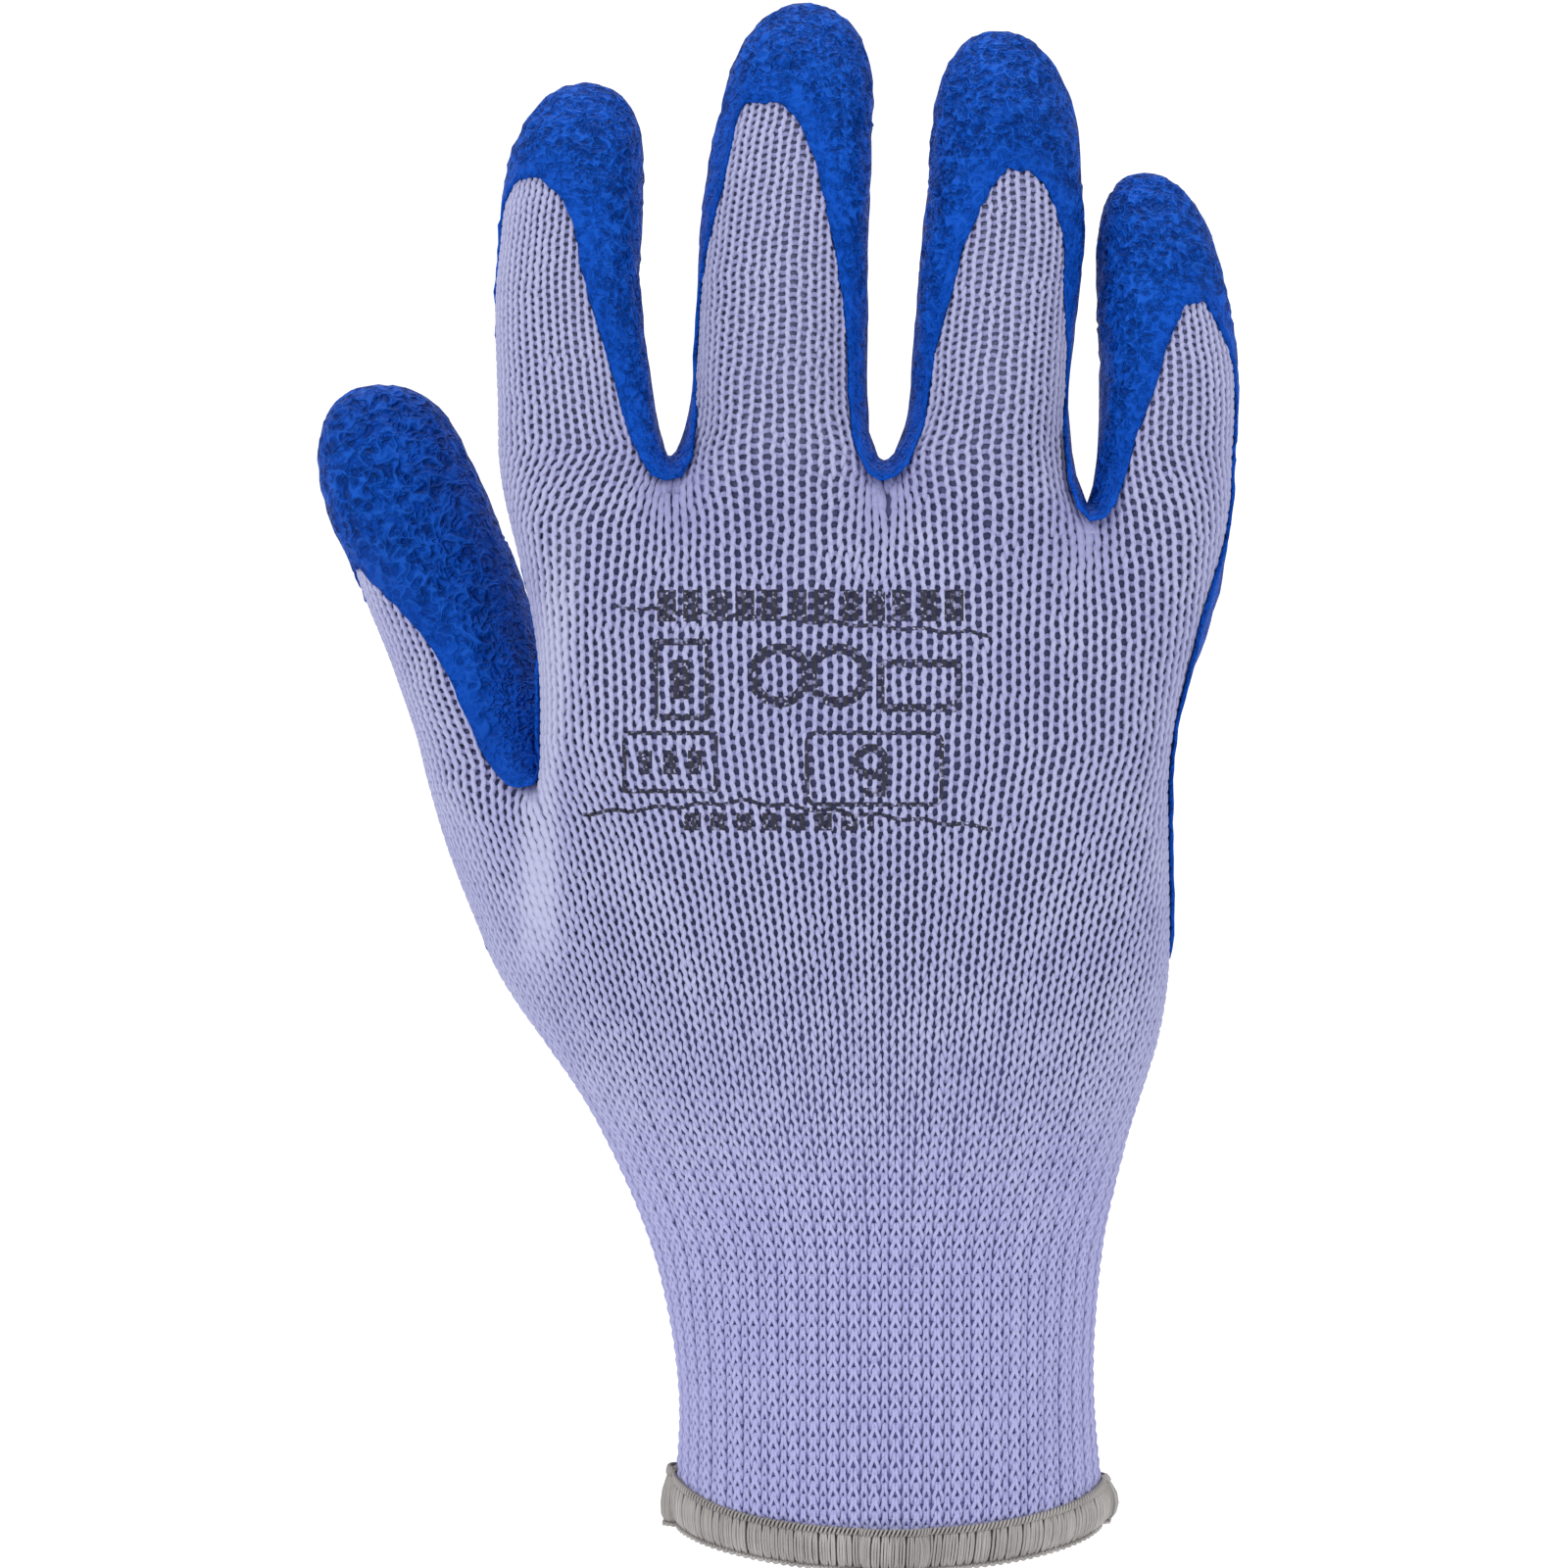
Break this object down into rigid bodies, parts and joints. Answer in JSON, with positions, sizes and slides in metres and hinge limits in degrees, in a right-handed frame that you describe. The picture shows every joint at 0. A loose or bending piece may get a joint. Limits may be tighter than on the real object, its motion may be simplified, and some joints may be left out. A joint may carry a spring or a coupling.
{
  "type": "latex-coated work glove",
  "caption": "Right-hand seamless knitted work glove with a crinkle latex coating on palm, finger sides and fingertips, shown in its worn form, open at the wrist.",
  "frame": {"origin": "centre of the wrist opening, at the lowest level of the hem", "axes": "+Z from the wrist opening to the fingertips, -Y out of the back of the hand, +Y out of the palm, -X the thumb side"},
  "size_m": [0.1504, 0.0617, 0.2487],
  "materials": {
    "knit": "seamless polyester knit, matt",
    "latex": "crinkled latex, satin",
    "hem_thread": "overlock stitching in grey thread"
  },
  "bodies": {
    "root": {"knit_cuff": "knit", "knit_palm": "knit", "knit_thumb": "knit", "knit_index": "knit", "knit_middle": "knit", "knit_ring": "knit", "knit_little": "knit", "latex_coating": "latex", "overlock_hem": "hem_thread"}
  },
  "joints": []
}
